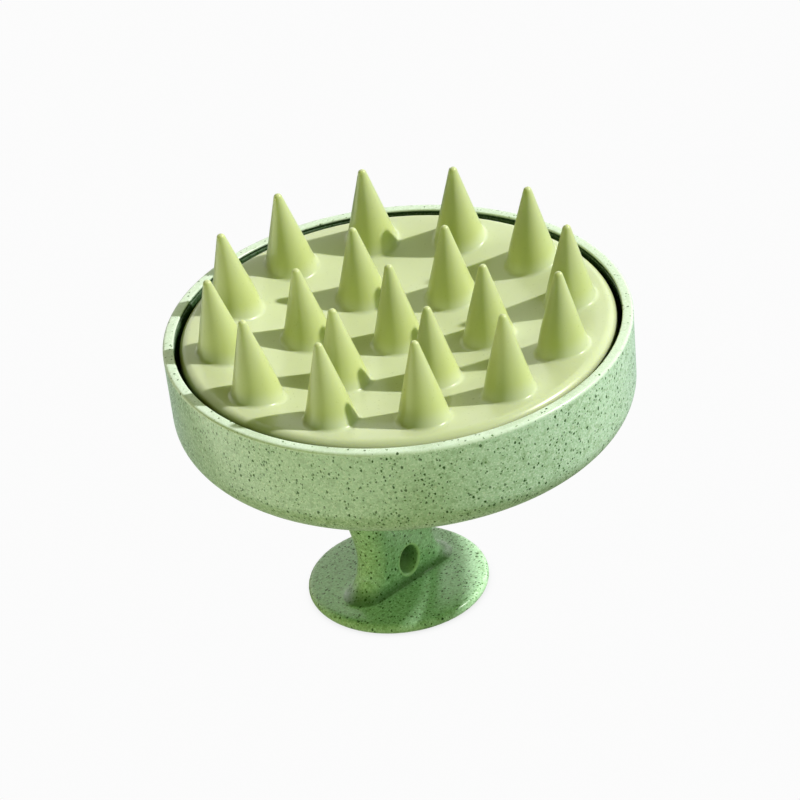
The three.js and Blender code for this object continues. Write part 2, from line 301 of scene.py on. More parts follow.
def cup_profile():
    """Half section of the cup, from the axis below, out, up over the rim and back in along the floor."""
    inner_foot = RIM_INNER - DRAFT
    outer_foot = CUP_RADIUS - DRAFT
    inner_corner = CORNER - WALL
    profile = [(0, CUP_BOTTOM)]
    profile += [(r * (outer_foot - CORNER), CUP_BOTTOM) for r in (0.3, 0.6, 0.85)]
    profile += arc(outer_foot - CORNER, CUP_BOTTOM + CORNER, CORNER, -90, 0, 16)
    profile += arc(CUP_RADIUS - RIM_ROUND, RIM - RIM_ROUND, RIM_ROUND, 0, 90, 6)
    profile += arc(RIM_INNER + INNER_ROUND, RIM - INNER_ROUND, INNER_ROUND, 90, 180, 5)
    groove = RIM_INNER + GROOVE_DEPTH
    profile += [(RIM_INNER, RIM - GROOVE_TOP), (groove, RIM - GROOVE_TOP - GROOVE_SLOPE)]
    profile += [(groove, RIM - GROOVE_LOW + GROOVE_SLOPE), (RIM_INNER, RIM - GROOVE_LOW)]
    profile += arc(inner_foot - inner_corner, FLOOR + inner_corner, inner_corner, 0, -90, 12)
    return profile + [(0, FLOOR)]


def build_cup():
    cup = turned("cup", cup_profile(), 256)
    for x, y in peg_places():
        add_socket(cup, x, y)
    combine(cup, floor_pad(), "UNION")
    for x, y in screw_places():
        hole = post("hole", SCREW_HOLE, CUP_BOTTOM - OVERCUT, FLOOR + FLOOR_PAD_HEIGHT + OVERCUT, 40, x, y)
        combine(cup, hole, "DIFFERENCE")
    combine(cup, tongue(TONGUE_CLEARANCE, CUP_BOTTOM - OVERCUT, CUP_BOTTOM + TONGUE_HEIGHT), "DIFFERENCE")
    return cup


def add_socket(cup, x, y):
    """A boss on the cup's floor with a blind bore for one peg of the carrier."""
    inside = PEG_RADIUS + RUNNING
    outside = inside + SOCKET_WALL
    top = FLOOR + SOCKET_HEIGHT
    boss = [(0, FLOOR - EMBED), (outside, FLOOR - EMBED)]
    boss += arc(outside - SMALL_ROUND, top - SMALL_ROUND, SMALL_ROUND, 0, 90, 4)
    boss += [(0, top)]
    combine(cup, turned("boss", boss, 48, x, y), "UNION")
    mouth = inside + SOCKET_LEAD
    low = FLOOR + 0.1 * MM
    high = top + 0.1 * MM
    bore = [(0, low), (inside, low), (inside, high - SOCKET_LEAD), (mouth, high)]
    bore += [(mouth, top + OVERCUT), (0, top + OVERCUT)]
    combine(cup, turned("bore", bore, 48, x, y), "DIFFERENCE")


def floor_pad():
    """Raised pad on the cup's floor under the two screw heads."""
    top = FLOOR + FLOOR_PAD_HEIGHT
    edge = SMALL_ROUND / 3
    levels = [(0, FLOOR - EMBED), (0, top - SMALL_ROUND), (edge, top - edge), (SMALL_ROUND, top)]
    return track_block("floor_pad", SCREW_SPREAD + FLOOR_PAD_BEYOND, FLOOR_PAD_HALF_WIDTH, levels)


def tongue(grow, low, high):
    """The tongue on top of the neck, or its recess in the cup when it is grown by the clearance."""
    return track_block("tongue", TONGUE_HALF_LENGTH + grow, TONGUE_HALF_WIDTH + grow, [(0, low), (0, high)])


def track_block(name, half_length, half_width, levels):
    """An upright solid on the handle's axis. Each level is the inset of its outline, and its height."""
    shell = Shell()
    rings = []
    for inset, z in levels:
        outline = track(half_length - inset, half_width - inset, 8, 24)
        rings.append(shell.ring((HANDLE_X + x, HANDLE_Y + y, z) for x, y in outline))
    shell.cap(rings[0], (HANDLE_X, HANDLE_Y, levels[0][1]), upwards=False)
    for lower, upper in zip(rings, rings[1:]):
        shell.bridge(lower, upper)
    shell.cap(rings[-1], (HANDLE_X, HANDLE_Y, levels[-1][1]), upwards=True)
    return shell.make(name)


def peg_places():
    angles = [2 * math.pi * (k + 0.5) / PEG_COUNT for k in range(PEG_COUNT)]
    return [(PEG_CIRCLE * math.cos(a), PEG_CIRCLE * math.sin(a)) for a in angles]


def screw_places():
    return [(HANDLE_X + side * SCREW_SPREAD, HANDLE_Y) for side in (-1, 1)]


# ---- Handle ----

SIDE_FLANK = 4           # quads on each side of the hole's window
SIDE_WINDOW = 12         # quads across the window
END_STEPS = 20
WINDOW_HALF_WIDTH = 3.6 * MM
WINDOW_LOW = 0.6 * MM
WINDOW_HIGH = 9.2 * MM
WINDOW_ROWS = 14
HANDLE_SHARP = 40        # degrees over which an edge of the handle is shaded sharp


def track(half_length, half_width, side_steps, end_steps):
    """A running-track outline, anticlockwise, starting at the left end of the near side."""
    straight = half_length - half_width
    near = [(-straight + 2 * straight * i / side_steps, -half_width) for i in range(side_steps)]
    turns = [math.pi * (i / end_steps - 0.5) for i in range(end_steps)]
    end = [(straight + half_width * math.cos(t), half_width * math.sin(t)) for t in turns]
    half = near + end
    return half + [(-x, -y) for x, y in half]


def above_waist(height):
    """0 at the waist and below it, rising to 1 at the top of the neck."""
    return max(0.0, (height - WAIST_HEIGHT) / (NECK_HEIGHT - WAIST_HEIGHT))


def neck_half_width(height):
    foot = FOOT_FLARE * math.exp(-height / FOOT_FLARE_FADE)
    growth = NECK_TOP_HALF_WIDTH - WAIST_HALF_WIDTH
    return WAIST_HALF_WIDTH + foot + growth * above_waist(height) ** WIDTH_POWER


def neck_half_thickness(height):
    foot = FOOT_FILLET * math.exp(-height / FOOT_FILLET_FADE)
    growth = NECK_TOP_HALF_THICKNESS - WAIST_HALF_THICKNESS
    return WAIST_HALF_THICKNESS + foot + growth * above_waist(height) ** THICKNESS_POWER


def neck_ring(height):
    """One level outline of the neck, with fixed columns where the hole's window is."""
    skirt = FOOT_SKIRT * max(0.0, 1 - height / FOOT_SKIRT) ** 2
    half_width = neck_half_width(height) + skirt
    half_thickness = neck_half_thickness(height) + skirt
    straight = half_width - half_thickness
    flank = [-straight + (straight - WINDOW_HALF_WIDTH) * i / SIDE_FLANK for i in range(SIDE_FLANK)]
    window = [WINDOW_HALF_WIDTH * (2 * i / SIDE_WINDOW - 1) for i in range(SIDE_WINDOW)]
    far_flank = [-x for x in reversed(flank)]
    near = flank + window + [WINDOW_HALF_WIDTH] + far_flank[:-1]
    turns = [math.pi * (i / END_STEPS - 0.5) for i in range(END_STEPS)]
    half = [(x, -half_thickness) for x in near]
    half += [(straight + half_thickness * math.cos(t), half_thickness * math.sin(t)) for t in turns]
    outline = half + [(-x, -y) for x, y in half]
    z = DISC_THICKNESS + height
    return [(HANDLE_X + x, HANDLE_Y + y, z) for x, y in outline]


def neck_heights():
    """Heights of the neck's rings: close together at the foot, even across the window and above it."""
    rows = [share * FOOT_SKIRT for share in (0, 1 / 7, 12 / 35, 22 / 35, 1)]
    rows += [WINDOW_LOW + (WINDOW_HIGH - WINDOW_LOW) * i / WINDOW_ROWS for i in range(WINDOW_ROWS + 1)]
    upper_rows = 26
    rows += [WINDOW_HIGH + (NECK_HEIGHT - WINDOW_HIGH) * i / upper_rows for i in range(1, upper_rows + 1)]
    return rows


def build_handle():
    """Neck, disc and hanging hole in one surface, then the tongue and the screw bores."""
    shell = Shell()
    heights = neck_heights()
    rings = [shell.ring(neck_ring(h)) for h in heights]
    count = len(rings[0])
    first_row = heights.index(WINDOW_LOW)
    window_columns = range(SIDE_FLANK, SIDE_FLANK + SIDE_WINDOW)
    half = count // 2
    open_columns = set(window_columns) | {c + half for c in window_columns}
    for row, (lower, upper) in enumerate(zip(rings, rings[1:])):
        in_window = first_row <= row < first_row + WINDOW_ROWS
        for i in range(count):
            if in_window and i in open_columns:
                continue
            j = (i + 1) % count
            shell.faces.append((lower[i], lower[j], upper[j], upper[i]))
    shell.cap(rings[-1], (HANDLE_X, HANDLE_Y, DISC_THICKNESS + NECK_HEIGHT), upwards=True)
    add_disc(shell, rings[0])
    mouths = []
    for offset, side in ((0, -1), (half, 1)):
        loop = window_loop(rings[first_row:first_row + WINDOW_ROWS + 1], offset + SIDE_FLANK)
        mouths.append(add_hole_mouth(shell, loop, side))
    join_hole(shell, *mouths)
    body = shell.make("handle_body", HANDLE_SHARP)
    top = CUP_BOTTOM + TONGUE_HEIGHT - TONGUE_CLEARANCE
    combine(body, tongue(0, CUP_BOTTOM - SEAM - EMBED, top), "UNION", HANDLE_SHARP)
    for x, y in screw_places():
        bore = post("bore", SCREW_RADIUS + SEAM, CUP_BOTTOM - SCREW_LENGTH, top + OVERCUT, 32, x, y)
        combine(body, bore, "DIFFERENCE", HANDLE_SHARP)
    return body


def window_loop(rows, first_column):
    """The points round a window, from its lower left corner and anticlockwise seen from outside."""
    last_column = first_column + SIDE_WINDOW
    bottom = rows[0][first_column:last_column + 1]
    right = [row[last_column] for row in rows[1:]]
    top = rows[-1][first_column:last_column][::-1]
    left = [row[first_column] for row in rows[-2:0:-1]]
    return bottom + right + top + left


def add_disc(shell, foot_ring):
    """The finger disc under the neck: flat below and above, with a half-round edge.

    Each of its spokes ends at one point of the neck's foot. The squeeze spreads them more evenly.
    """
    edge = DISC_THICKNESS / 2
    squeeze = 0.75
    places = [shell.points[index] for index in foot_ring]
    angles = [math.atan2((place.y - HANDLE_Y) / squeeze, place.x - HANDLE_X) for place in places]
    spokes = [(math.cos(angle), math.sin(angle)) for angle in angles]

    def disc_ring(radius, z):
        return shell.ring((HANDLE_X + radius * x, HANDLE_Y + radius * y, z) for x, y in spokes)

    profile = [(0.5 * DISC_RADIUS, 0)] + arc(DISC_RADIUS - edge, edge, edge, -90, 90, 12)
    rings = [disc_ring(r, z) for r, z in profile]
    shell.cap(rings[0], (HANDLE_X, HANDLE_Y, 0), upwards=False)
    for lower, upper in zip(rings, rings[1:]):
        shell.bridge(lower, upper)
    outer = rings[-1]
    steps = 4
    previous = outer
    for step in range(1, steps):
        share = step / steps
        places = [shell.points[o].lerp(shell.points[f], share) for o, f in zip(outer, foot_ring)]
        ring = shell.ring(places)
        shell.bridge(previous, ring)
        previous = ring
    shell.bridge(previous, foot_ring)


def add_hole_mouth(shell, frame_loop, side):
    """Fills a window in one face of the neck down to the rounded mouth of the hanging hole."""
    centre_z = DISC_THICKNESS + HOLE_HEIGHT

    def on_face(x, z, depth=0.0):
        half = neck_half_thickness(z - DISC_THICKNESS)
        return (HANDLE_X + x, HANDLE_Y + side * (half - depth), z)

    starts = [(shell.points[i].x - HANDLE_X, shell.points[i].z) for i in frame_loop]
    turns = [math.atan2((z - centre_z) / HOLE_HALF_HEIGHT, x / HOLE_HALF_WIDTH) for x, z in starts]

    def oval(grow):
        half_width = HOLE_HALF_WIDTH + grow
        half_height = HOLE_HALF_HEIGHT + grow
        return [(half_width * math.cos(t), centre_z + half_height * math.sin(t)) for t in turns]

    rings = [frame_loop]
    outer_oval = oval(HOLE_ROUND)
    steps = 5
    for step in range(1, steps + 1):
        share = step / steps
        places = [Vector(start).lerp(Vector(end), share) for start, end in zip(starts, outer_oval)]
        rings.append(shell.ring(on_face(x, z) for x, z in places))
    for step in range(1, 5):
        turn = math.radians(90 * step / 4)
        edge = oval(HOLE_ROUND * (1 - math.sin(turn)))
        depth = HOLE_ROUND * (1 - math.cos(turn))
        rings.append(shell.ring(on_face(x, z, depth) for x, z in edge))
    for outer, inner in zip(rings, rings[1:]):
        shell.bridge(outer, inner)
    return rings[-1]


def join_hole(shell, near, far):
    """The hole's wall, from the near mouth to the far one."""
    partner = {}
    for index in far:
        place = shell.points[index]
        partner[index] = min(
            near, key=lambda i: (shell.points[i].x - place.x) ** 2 + (shell.points[i].z - place.z) ** 2)
    by_near = {n: f for f, n in partner.items()}
    matched = [by_near[i] for i in near]
    previous = near
    steps = 6
    for step in range(1, steps):
        share = step / steps
        ring = shell.ring(shell.points[a].lerp(shell.points[b], share) for a, b in zip(near, matched))
        shell.bridge(previous, ring)
        previous = ring
    shell.bridge(previous, matched)


# ---- Silicone pad ----

def dish(radius):
    """Height of the pad's upper face: a shallow bowl that levels out at its crest."""
    if radius <= DISH_OUTER:
        return RIM - DISH_DEPTH + DISH_CURVE * radius * radius
    start = RIM - DISH_DEPTH + DISH_CURVE * DISH_OUTER ** 2
    slope = 2 * DISH_CURVE * DISH_OUTER
    span = CREST - DISH_OUTER
    share = min(1.0, (radius - DISH_OUTER) / span)
    return start + slope * span * (share - 0.5 * share * share)


def pin_places():
    """Centre and height of every pin."""
    pins = []
    for count, ring_radius, height, turn in PIN_RINGS:
        for k in range(count):
            angle = math.radians(PATTERN_TURN + turn + 360 * k / count)
            centre = Vector((ring_radius * math.cos(angle), ring_radius * math.sin(angle)))
            pins.append((centre, height))
    return pins


def pin_profile(height):
    """Radius and height of a pin's rings: a fillet at the foot, a straight side and a round tip."""
    slant = math.atan2(PIN_BASE - PIN_TIP, height - PIN_TIP)
    foot_centre = PIN_BASE + PIN_FILLET * (math.cos(slant) - (1 - math.sin(slant)) * math.tan(slant))
    points = []
    for step in range(7):
        turn = -math.pi / 2 - (math.pi / 2 - slant) * step / 6
        points.append((foot_centre + PIN_FILLET * math.cos(turn), PIN_FILLET * (1 + math.sin(turn))))
    low = points[-1]
    tip_centre = height - PIN_TIP
    high = (PIN_TIP * math.cos(slant), tip_centre + PIN_TIP * math.sin(slant))
    side_steps = 14
    for step in range(1, side_steps):
        share = step / side_steps
        points.append((low[0] + (high[0] - low[0]) * share, low[1] + (high[1] - low[1]) * share))
    for step in range(6):
        turn = slant + (math.pi / 2 - slant) * step / 6
        points.append((PIN_TIP * math.cos(turn), tip_centre + PIN_TIP * math.sin(turn)))
    return points


def pin_lean(centre):
    """How far a pin's axis moves sideways for each unit of its height."""
    turn = math.radians(PIN_LEAN_TURN)
    along = Vector((math.cos(turn), math.sin(turn)))
    across = Vector((-along.y, along.x))
    run = PIN_LEAN + PIN_SPLAY * centre.dot(along) / CUP_RADIUS
    return along * run - across * PIN_GATHER * centre.dot(across) / CUP_RADIUS


def add_pin(shell, foot_ring, centre, height):
    profile = pin_profile(height)
    count = len(foot_ring)
    base_z = dish(centre.length)
    lean = pin_lean(centre)
    previous = foot_ring
    for radius, rise in profile[1:]:
        level = blend_step(rise / PIN_BLEND)
        places = []
        for k in range(count):
            angle = 2 * math.pi * k / count
            flat = centre + Vector((radius * math.cos(angle), radius * math.sin(angle)))
            z = dish(flat.length) * (1 - level) + base_z * level + rise
            flat = flat + lean * rise
            places.append((flat.x, flat.y, z))
        ring = shell.ring(places)
        shell.bridge(previous, ring)
        previous = ring
    tip = centre + lean * height
    shell.cap(previous, (tip.x, tip.y, base_z + height), upwards=True)


class PadPlan:
    """The pad seen from above: its crest and the feet of its pins, with a net of points between them."""

    def __init__(self, pins):
        self.pins = pins
        self.foot_radii = [pin_profile(height)[0][0] for _, height in pins]
        self.points = []
        self.edges = []
        self.crest = self.add_loop(Vector((0, 0)), CREST, CREST_POINTS)
        self.feet = [self.add_loop(pin[0], radius, PIN_POINTS) for pin, radius in zip(pins, self.foot_radii)]
        self.add_net()

    def add_loop(self, centre, radius, count):
        start = len(self.points)
        turns = [2 * math.pi * k / count for k in range(count)]
        self.points += [centre + Vector((radius * math.cos(t), radius * math.sin(t))) for t in turns]
        self.edges += [(start + i, start + (i + 1) % count) for i in range(count)]
        return range(start, start + count)

    def is_free(self, place, margin):
        """Whether a place is inside the crest and outside every pin's foot by this margin."""
        if place.length > CREST - margin:
            return False
        pairs = zip(self.pins, self.foot_radii)
        return all((place - pin[0]).length > radius + margin for pin, radius in pairs)

    def add_net(self):
        reach = int(CREST / NET_SPACING) + 2
        for row in range(-reach, reach + 1):
            for column in range(-reach, reach + 1):
                x = (column + 0.5 * (row % 2)) * NET_SPACING
                place = Vector((x, row * NET_SPACING * math.sqrt(3) / 2))
                if self.is_free(place, 0.55 * NET_SPACING):
                    self.points.append(place)


def build_pad():
    plan = PadPlan(pin_places())
    shell = Shell()
    placed, _, triangles, origins, _, _ = delaunay_2d_cdt(plan.points, plan.edges, [], 0, 1e-9)
    corner_of = [shell.point((place.x, place.y, dish(place.length))) for place in placed]
    corner_at = {old: corner_of[new] for new, olds in enumerate(origins) for old in olds}
    for triangle in triangles:
        a, b, c = (placed[i] for i in triangle)
        if plan.is_free((a + b + c) / 3, 0.0):
            corners = [corner_of[i] for i in triangle]
            if (b - a).cross(c - a) < 0:
                corners.reverse()
            shell.faces.append(tuple(corners))
    for (centre, height), foot in zip(plan.pins, plan.feet):
        add_pin(shell, [corner_at[i] for i in foot], centre, height)
    add_pad_underside(shell, [corner_at[i] for i in plan.crest])
    return shell.make("massage_pad", 50)


def add_pad_underside(shell, crest_ring):
    """From the crest out over the rolled edge, down the skirt, round the groove and under the skin."""
    count = len(crest_ring)
    flange_top = RIM - DISH_DEPTH + DISH_CURVE * FLANGE_INNER ** 2 - PAD_SKIN
    lip_top = flange_top - FLANGE_THICKNESS - 2 * SOFT_GAP
    skirt_low = lip_top - LIP_THICKNESS
    groove = FLANGE_RADIUS + SOFT_GAP
    top = dish(CREST)
    profile = arc(CREST, top - PAD_EDGE, PAD_EDGE, 90, 0, 14)[1:]
    profile += arc(PAD_RADIUS - SKIRT_ROUND, skirt_low + SKIRT_ROUND, SKIRT_ROUND, 0, -90, 4)
    profile += arc(LIP_INNER + SMALL_ROUND, skirt_low + SMALL_ROUND, SMALL_ROUND, -90, -180, 3)
    profile += arc(LIP_INNER + SMALL_ROUND, lip_top - SMALL_ROUND, SMALL_ROUND, 180, 90, 3)
    profile += [(groove, lip_top), (groove, flange_top), (FLANGE_INNER, flange_top)]
    for radius in (28 * MM, 22 * MM, 16 * MM, 10 * MM, 5 * MM):
        profile.append((radius, RIM - DISH_DEPTH - PAD_SKIN + DISH_CURVE * radius ** 2))
    previous = crest_ring
    for radius, z in profile:
        ring = shell.ring(circle(radius, z, count))
        shell.bridge(ring, previous)
        previous = ring
    shell.cap(previous, (0, 0, RIM - DISH_DEPTH - PAD_SKIN), upwards=False)


# ---- Materials ----

class Nodes:
    """A short way to write the node tree of a material or a world."""

    def __init__(self, owner):
        owner.use_nodes = True
        self.tree = owner.node_tree
        self.surface = self.tree.nodes.get("Principled BSDF")

    def add(self, kind, inputs=None, **settings):
        node = self.tree.nodes.new(kind)
        for key, value in settings.items():
            setattr(node, key, value)
        for key, value in (inputs or {}).items():
            self.put(node.inputs[key], value)
        return node

    def put(self, socket, value):
        if isinstance(value, bpy.types.NodeSocket):
            self.tree.links.new(value, socket)
        else:
            socket.default_value = value

    def math(self, operation, *values):
        node = self.add("ShaderNodeMath", operation=operation)
        for socket, value in zip(node.inputs, values):
            self.put(socket, value)
        return node.outputs[0]

    def ramp(self, value, low, high):
        """0 below low and 1 above high, smooth in between."""
        node = self.add("ShaderNodeMapRange", interpolation_type="SMOOTHSTEP")
        for key, item in (("Value", value), ("From Min", low), ("From Max", high)):
            self.put(node.inputs[key], item)
        return node.outputs["Result"]

    def mix(self, share, a, b):
        node = self.add("ShaderNodeMix", data_type="RGBA")
        self.put(node.inputs["Factor"], share)
        self.put(node.inputs["A"], a)
        self.put(node.inputs["B"], b)
        return node.outputs["Result"]

    def noise(self, place, scale, detail=2.0, roughness=0.5):
        inputs = {"Vector": place, "Scale": scale, "Detail": detail, "Roughness": roughness}
        return self.add("ShaderNodeTexNoise", inputs).outputs["Fac"]

    def vector(self, operation, *values):
        node = self.add("ShaderNodeVectorMath", dict(enumerate(values)), operation=operation)
        return node.outputs["Value" if operation in ("DOT_PRODUCT", "LENGTH") else 0]

    def place(self):
        return self.add("ShaderNodeTexCoord").outputs["Object"]

    def finish(self, base, roughness, height, strength, distance):
        """Sets the surface's colour, roughness and relief."""
        bump = self.add("ShaderNodeBump", {"Height": height, "Strength": strength, "Distance": distance})
        self.put(self.surface.inputs["Base Color"], base)
        self.put(self.surface.inputs["Roughness"], roughness)
        self.put(self.surface.inputs["Normal"], bump.outputs[0])

    def scatter(self, weight, radius, scale):
        """Lets light in under the surface."""
        self.put(self.surface.inputs["Subsurface Weight"], weight)
        self.put(self.surface.inputs["Subsurface Radius"], radius)
        self.put(self.surface.inputs["Subsurface Scale"], scale)


def colour(red, green, blue):
    """A display colour of 0 to 255 as a linear one."""
    parts = [value / 255 for value in (red, green, blue)]
    linear = [p / 12.92 if p <= 0.04045 else ((p + 0.055) / 1.055) ** 2.4 for p in parts]
    return (*linear, 1.0)


SAGE = (colour(182, 212, 180), colour(196, 225, 198))
SAGE_GRAIN = colour(220, 240, 222)
SAGE_MOTTLE = colour(156, 184, 144)
# Painted highlight: the rim's top is paler, for the light that falls on it.
SAGE_RIM_HIGHLIGHT = colour(240, 251, 240)
PALE_FLECK = colour(228, 240, 214)
DUST_FLECK = colour(116, 150, 84)
FIBRE_FLECK = colour(108, 140, 70)
FINE_FLECK = colour(70, 112, 34)
COARSE_FLECK = colour(38, 78, 12)
# Painted shade laid into hollows, such as the hanging hole.
HOLLOW_SHADE_GREEN = colour(36, 92, 8)
# Painted shade along tight creases and gaps.
CREASE_SHADE_GREEN = colour(26, 58, 10)
# Painted shade where the neck rises from the disc.
FOOT_SHADE_GREEN = colour(66, 100, 22)
# Painted highlight round the mouth of the hanging hole.
MOUTH_HIGHLIGHT_GREEN = colour(226, 244, 206)
HANDLE_TINT = (0.95, 1.08, 0.92)      # the handle is a little greener than the cup
SILICONE = (colour(207, 214, 174), colour(216, 223, 187))
PIN_FOOT = colour(205, 213, 149)
PIN_TOP = colour(208, 214, 164)
# Painted shade in the pad's hollows, round the pins' feet and in its gap to the cup.
SILICONE_HOLLOW_SHADE = colour(70, 84, 26)
OFF_WHITE = (colour(214, 220, 200), colour(226, 230, 214))
ZINC = (colour(196, 198, 200), colour(160, 158, 150))


def flecks(nodes, place, cell, share, sizes, strengths, stretch=(1, 1, 1), turn=(0, 0, 0)):
    """Mask of irregular flecks, at most one in each cell.

    share is how many cells hold one. Radii and strengths lie between the two given values.
    """
    mapped = nodes.add("ShaderNodeMapping", {"Vector": place, "Rotation": turn, "Scale": stretch})
    cells = nodes.add("ShaderNodeTexVoronoi", {"Vector": mapped.outputs[0], "Scale": 1 / cell})
    luck = nodes.add("ShaderNodeSeparateColor", {"Color": cells.outputs["Color"]})
    chosen = nodes.math("LESS_THAN", luck.outputs["Red"], share)
    small, large = (size / cell for size in sizes)
    reach = nodes.math("MULTIPLY_ADD", luck.outputs["Green"], large - small, small)
    inside = nodes.math("SUBTRACT", reach, cells.outputs["Distance"])
    shape = nodes.ramp(inside, 0.0, 0.06 * MM / cell)
    weak, strong = strengths
    strength = nodes.math("MULTIPLY_ADD", luck.outputs["Blue"], strong - weak, weak)
    return nodes.math("MULTIPLY", nodes.math("MULTIPLY", chosen, shape), strength)


def hollow_shade(nodes, reach, closed=0.05, clear=0.6):
    """Mask of painted shade: 1 where the share of open directions is under closed, 0 where it is over clear.
    """
    open_share = nodes.add("ShaderNodeAmbientOcclusion", {"Distance": reach}, samples=6).outputs["AO"]
    return nodes.math("SUBTRACT", 1.0, nodes.ramp(open_share, closed, clear))


def hole_mouth_highlight(nodes, place):
    """1 on the rounded mouth of the hanging hole, where a pale ring of painted highlight goes, and 0
    elsewhere.
    """
    centre = (HANDLE_X, 0, DISC_THICKNESS + HOLE_HEIGHT)
    scale = (1 / (HOLE_HALF_WIDTH + HOLE_ROUND), 0, 1 / (HOLE_HALF_HEIGHT + HOLE_ROUND))
    oval = nodes.vector("MULTIPLY", nodes.vector("SUBTRACT", place, centre), scale)
    reach = nodes.vector("LENGTH", oval)
    return nodes.math("SUBTRACT", nodes.ramp(reach, 0.84, 0.9), nodes.ramp(reach, 1.0, 1.08))


def neck_foot_shade(nodes, height):
    """Mask of painted shade: 1 where the neck rises from the disc, fading out upwards, and 0 on the disc."""
    above = nodes.math("SUBTRACT", height, DISC_THICKNESS)
    start = nodes.ramp(above, 0.03 * MM, 0.15 * MM)
    return nodes.math("SUBTRACT", start, nodes.ramp(above, 0.3 * MM, 3 * MM))


def add_flecks(nodes, place, rim_top_highlight, base):
    """Lays five kinds of flecks over the base colour. Returns it with the mask of the dark ones."""
    wobble = nodes.add("ShaderNodeTexNoise", {"Vector": place, "Scale": 2600.0, "Detail": 1.0})
    shift = nodes.vector("SUBTRACT", wobble.outputs["Color"], (0.5, 0.5, 0.5))
    bent = nodes.vector("MULTIPLY_ADD", shift, (0.35 * MM,) * 3, place)
    clusters = nodes.ramp(nodes.noise(place, 160.0, 2.0), 0.35, 0.65)
    crowd = nodes.math("MULTIPLY_ADD", clusters, 0.5, 0.45)
    # Fewer flecks on the rim's top, under its painted highlight.
    crowd = nodes.math("MULTIPLY", crowd, nodes.math("MULTIPLY_ADD", rim_top_highlight, -0.75, 1.0))
    pale = flecks(nodes, bent, 0.8 * MM, 0.5, (0.12 * MM, 0.26 * MM), (0.2, 0.6), turn=(0.7, 0.2, 0.6))
    dust = flecks(nodes, bent, 0.48 * MM, crowd, (0.07 * MM, 0.13 * MM), (0.3, 0.7))
    fine = flecks(nodes, bent, 0.66 * MM, crowd, (0.12 * MM, 0.23 * MM), (0.4, 1.0), turn=(1.0, 0.4, 0.2))
    fibre = flecks(nodes, bent, 1.1 * MM, 0.45, (0.13 * MM, 0.22 * MM), (0.25, 0.6),
                   stretch=(0.4, 1.5, 1.5), turn=(0.3, 0.5, 1.1))
    coarse = flecks(nodes, bent, 0.82 * MM, crowd, (0.15 * MM, 0.3 * MM), (0.7, 1.0),
                    stretch=(1, 1.3, 0.8), turn=(0.4, 0.9, 0.2))
    masks = (pale, dust, fibre, fine, coarse)
    tones = (PALE_FLECK, DUST_FLECK, FIBRE_FLECK, FINE_FLECK, COARSE_FLECK)
    for mask, tone in zip(masks, tones):
        base = nodes.mix(mask, base, tone)
    return base, nodes.math("MAXIMUM", fine, nodes.math("MAXIMUM", fibre, coarse))


def speckled_plastic(name, tint=(1.0, 1.0, 1.0)):
    """Moulded plastic filled with plant fibre: pale sage green with dark and light flecks."""
    material = bpy.data.materials.new(name)
    nodes = Nodes(material)
    place = nodes.place()
    height = nodes.add("ShaderNodeSeparateXYZ", {"Vector": place}).outputs["Z"]
    # Mask of the painted highlight on the rim's top.
    rim_top_highlight = nodes.ramp(height, RIM - 0.9 * MM, RIM - 0.2 * MM)
    grain = nodes.noise(place, 2400.0, 2.0, 0.6)
    mottle = nodes.ramp(nodes.noise(place, 900.0, 2.0, 0.6), 0.5, 0.66)
    base = nodes.mix(nodes.ramp(nodes.noise(place, 70.0, 3.0), 0.3, 0.7), *SAGE)
    base = nodes.mix(nodes.ramp(grain, 0.42, 0.66), base, SAGE_GRAIN)
    base = nodes.mix(nodes.math("MULTIPLY", mottle, 0.6), base, SAGE_MOTTLE)
    # Painted highlight: a pale band on the rim's top, for the light that falls on it.
    base = nodes.mix(nodes.math("MULTIPLY", rim_top_highlight, 0.6), base, SAGE_RIM_HIGHLIGHT)
    base, marks = add_flecks(nodes, place, rim_top_highlight, base)
    # Painted shade: hollows turn dark green where little light reaches them.
    hollow_shade_mask = hollow_shade(nodes, 7 * MM)
    # Painted shade: a darker line in tight creases and gaps.
    crease_shade = hollow_shade(nodes, 1.6 * MM, 0.5, 0.95)
    base = nodes.mix(hollow_shade_mask, base, HOLLOW_SHADE_GREEN)
    base = nodes.mix(nodes.math("MULTIPLY", crease_shade, 0.85), base, CREASE_SHADE_GREEN)
    # Painted shade: a dark band along the foot of the neck, just above the disc.
    base = nodes.mix(nodes.math("MULTIPLY", neck_foot_shade(nodes, height), 0.65), base, FOOT_SHADE_GREEN)
    # Painted highlight: a pale ring round the hole's mouth, where its rounded edge catches light.
    base = nodes.mix(nodes.math("MULTIPLY", hole_mouth_highlight(nodes, place), 0.7), base, MOUTH_HIGHLIGHT_GREEN)
    rough = nodes.math("MULTIPLY_ADD", grain, 0.12, 0.2)
    rough = nodes.math("MULTIPLY_ADD", marks, 0.2, rough)
    relief = nodes.math("SUBTRACT", nodes.noise(place, 420.0, 2.0), nodes.math("MULTIPLY", marks, 0.6))
    nodes.finish(nodes.vector("MULTIPLY", base, tint), rough, relief, 0.12, 0.06 * MM)
    shine = nodes.math("MULTIPLY_ADD", nodes.math("MAXIMUM", hollow_shade_mask, marks), -0.4, 0.5)
    nodes.put(nodes.surface.inputs["Specular IOR Level"], shine)
    nodes.scatter(0.05, (0.8, 1.2, 0.6), 0.6 * MM)
    return material


